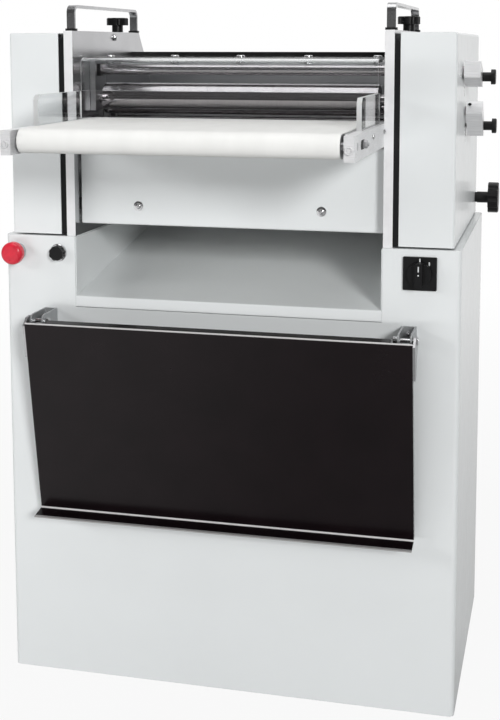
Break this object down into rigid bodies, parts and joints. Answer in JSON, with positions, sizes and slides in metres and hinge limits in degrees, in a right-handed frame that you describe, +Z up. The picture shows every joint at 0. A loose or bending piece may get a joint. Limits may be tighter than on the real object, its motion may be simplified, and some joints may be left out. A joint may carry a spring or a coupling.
{
  "type": "dough moulder",
  "caption": "Floor-standing bakery dough moulder: sheet-metal cabinet, infeed belt, sheeting rollers with gap levers, pressure board, chute recess and a fold-down receiving table.",
  "frame": {"origin": "on the floor, under the centre of the cabinet's footprint", "axes": "+X to the operator's right, +Y to the back, +Z up; the operator stands on the -Y side"},
  "size_m": [0.8488, 0.796, 1.212],
  "materials": {
    "powder_white": "smooth powder coat",
    "stainless": "brushed",
    "steel": "machined",
    "chrome": "polished",
    "aluminium": "bead blasted",
    "motor_casting": "painted casting",
    "belt_white": "smooth food belt",
    "drive_belt": "fabric backed rubber",
    "seal_black": "moulded",
    "black_plastic": "moulded",
    "grey_plastic": "moulded",
    "red_plastic": "moulded",
    "clear_acrylic": "polished sheet",
    "table_dark": "dark glossy coat",
    "black_paint": "satin"
  },
  "bodies": {
    "machine": {"base_tray": "powder_white", "front_wrap": "powder_white", "rear_wrap": "powder_white", "top_decks": "powder_white", "chute": "powder_white", "side_plates": "stainless", "left_cover": "powder_white", "right_cover": "powder_white", "cover_seals": "seal_black", "apron": "powder_white", "tie_bars": "black_paint", "rear_cover": "stainless", "bow_handles": "chrome", "conveyor_bars": "aluminium", "belt_beds": "stainless", "feed_belt": "belt_white", "belt_guides": "clear_acrylic", "roller_bearings": "steel", "mould_belt": "belt_white", "gear_motor": "motor_casting", "main_belt": "drive_belt", "transfer_belts": "drive_belt", "control_box": "grey_plastic", "cable_gland": "black_plastic", "estop_collar": "grey_plastic", "start_bezel": "chrome", "switch_plate": "black_plastic", "table_brackets": "chrome", "hinge_pins": "chrome"},
    "centre_rotor": {"centre_roller": "chrome", "centre_drive": "steel"},
    "upper_carrier": {"upper_hangers": "stainless"},
    "upper_rotor": {"upper_roller": "chrome", "upper_gear": "steel"},
    "rear_carrier": {"rear_hangers": "stainless"},
    "rear_rotor": {"rear_roller": "chrome", "rear_gear": "steel"},
    "upper_gap": {"upper_gap_shaft": "chrome", "upper_lever": "aluminium"},
    "upper_pin": {"upper_plunger": "black_plastic"},
    "rear_gap": {"rear_gap_shaft": "chrome", "rear_lever": "aluminium"},
    "rear_pin": {"rear_plunger": "black_plastic"},
    "lift": {"lift_shaft": "steel", "hand_knob": "black_plastic"},
    "board": {"pressure_board": "aluminium"},
    "feed_rotor": {"feed_roller": "steel"},
    "nose_rotor": {"nose_roller": "steel"},
    "mould_front_rotor": {"mould_front_roller": "steel"},
    "mould_rear_rotor": {"mould_rear_roller": "steel"},
    "motor_rotor": {"motor_pulley": "steel"},
    "table": {"table_panel": "table_dark", "table_arms": "stainless"},
    "guard": {"guard_sheet": "clear_acrylic", "guard_bar": "aluminium"},
    "estop": {"estop_head": "red_plastic"},
    "start": {"start_cap": "black_plastic"},
    "switch": {"switch_knob": "black_plastic"},
    "left_star": {"left_star_knob": "black_plastic"},
    "right_star": {"right_star_knob": "black_plastic"}
  },
  "joints": [
    {"name": "roller_spin", "type": "hinge", "parent": "machine", "child": "centre_rotor", "pos_m": [0, -0.135, 0.986], "axis": [1, 0, 0], "continuous": true},
    {"name": "upper_gap_turn", "type": "hinge", "parent": "machine", "child": "upper_gap", "pos_m": [0, -0.135, 1.099], "axis": [1, 0, 0], "range_deg": [-30, 30]},
    {"name": "upper_hanger_slide", "type": "slide", "parent": "machine", "child": "upper_carrier", "axis": [0, 0, 1], "range_m": [-0.003, 0.003]},
    {"name": "upper_roller_spin", "type": "hinge", "parent": "upper_carrier", "child": "upper_rotor", "pos_m": [0, -0.135, 1.047], "axis": [1, 0, 0], "continuous": true},
    {"name": "rear_gap_turn", "type": "hinge", "parent": "machine", "child": "rear_gap", "pos_m": [0, -0.074, 1.028], "axis": [1, 0, 0], "range_deg": [-30, 30]},
    {"name": "rear_hanger_slide", "type": "slide", "parent": "machine", "child": "rear_carrier", "axis": [0, 1, 0], "range_m": [-0.003, 0.003]},
    {"name": "rear_roller_spin", "type": "hinge", "parent": "rear_carrier", "child": "rear_rotor", "pos_m": [0, -0.074, 0.986], "axis": [1, 0, 0], "continuous": true},
    {"name": "upper_plunger_pull", "type": "slide", "parent": "upper_gap", "child": "upper_pin", "axis": [1, 0, 0], "range_m": [0, 0.006], "stiffness_N_per_m": 600, "springref_m": -0.01},
    {"name": "rear_plunger_pull", "type": "slide", "parent": "rear_gap", "child": "rear_pin", "axis": [1, 0, 0], "range_m": [0, 0.006], "stiffness_N_per_m": 600, "springref_m": -0.01},
    {"name": "pressure_turn", "type": "hinge", "parent": "machine", "child": "lift", "pos_m": [0, 0.215, 0.842], "axis": [1, 0, 0], "range_deg": [-30, 30]},
    {"name": "pressure_board_lift", "type": "slide", "parent": "machine", "child": "board", "axis": [0, 0, 1], "range_m": [-0.006, 0.006]},
    {"name": "feed_roller_spin", "type": "hinge", "parent": "machine", "child": "feed_rotor", "pos_m": [0, -0.195, 0.996], "axis": [1, 0, 0], "continuous": true},
    {"name": "nose_roller_spin", "type": "hinge", "parent": "machine", "child": "nose_rotor", "pos_m": [0, -0.507, 0.996], "axis": [1, 0, 0], "continuous": true},
    {"name": "mould_front_spin", "type": "hinge", "parent": "machine", "child": "mould_front_rotor", "pos_m": [0, -0.149, 0.85], "axis": [1, 0, 0], "continuous": true},
    {"name": "mould_rear_spin", "type": "hinge", "parent": "machine", "child": "mould_rear_rotor", "pos_m": [0, 0.123, 0.85], "axis": [1, 0, 0], "continuous": true},
    {"name": "motor_spin", "type": "hinge", "parent": "machine", "child": "motor_rotor", "pos_m": [0, 0.053, 0.15], "axis": [1, 0, 0], "continuous": true},
    {"name": "table_fold", "type": "hinge", "parent": "machine", "child": "table", "pos_m": [0, -0.301, 0.665], "axis": [-1, 0, 0], "range_deg": [0, 99]},
    {"name": "guard_swing", "type": "hinge", "parent": "machine", "child": "guard", "pos_m": [0, 0.005, 1.115], "axis": [-1, 0, 0], "range_deg": [0, 100]},
    {"name": "estop_push", "type": "slide", "parent": "machine", "child": "estop", "axis": [0, 1, 0], "range_m": [0, 0.0045]},
    {"name": "start_push", "type": "slide", "parent": "machine", "child": "start", "axis": [0, 1, 0], "range_m": [0, 0.003], "stiffness_N_per_m": 400, "springref_m": -0.004},
    {"name": "main_switch_turn", "type": "hinge", "parent": "machine", "child": "switch", "pos_m": [0.336, -0.247, 0.767], "axis": [0, 1, 0], "range_deg": [0, 45]},
    {"name": "left_star_turn", "type": "hinge", "parent": "machine", "child": "left_star", "pos_m": [-0.281, 0.005, 1.167], "axis": [0, 0, 1], "range_deg": [0, 360]},
    {"name": "right_star_turn", "type": "hinge", "parent": "machine", "child": "right_star", "pos_m": [0.281, 0.005, 1.167], "axis": [0, 0, 1], "range_deg": [0, 360]}
  ],
  "couplings": [
    {"joint": "upper_roller_spin", "follows": "roller_spin", "ratio": -1},
    {"joint": "rear_roller_spin", "follows": "roller_spin", "ratio": -1},
    {"joint": "feed_roller_spin", "follows": "roller_spin", "ratio": 1},
    {"joint": "nose_roller_spin", "follows": "roller_spin", "ratio": 1},
    {"joint": "mould_front_spin", "follows": "roller_spin", "ratio": 1},
    {"joint": "mould_rear_spin", "follows": "roller_spin", "ratio": 1},
    {"joint": "motor_spin", "follows": "roller_spin", "ratio": 2},
    {"joint": "upper_gap_turn", "follows": "upper_hanger_slide", "rad_per_m": 172.41},
    {"joint": "rear_gap_turn", "follows": "rear_hanger_slide", "rad_per_m": -172.41},
    {"joint": "pressure_turn", "follows": "pressure_board_lift", "rad_per_m": -86.207}
  ]
}
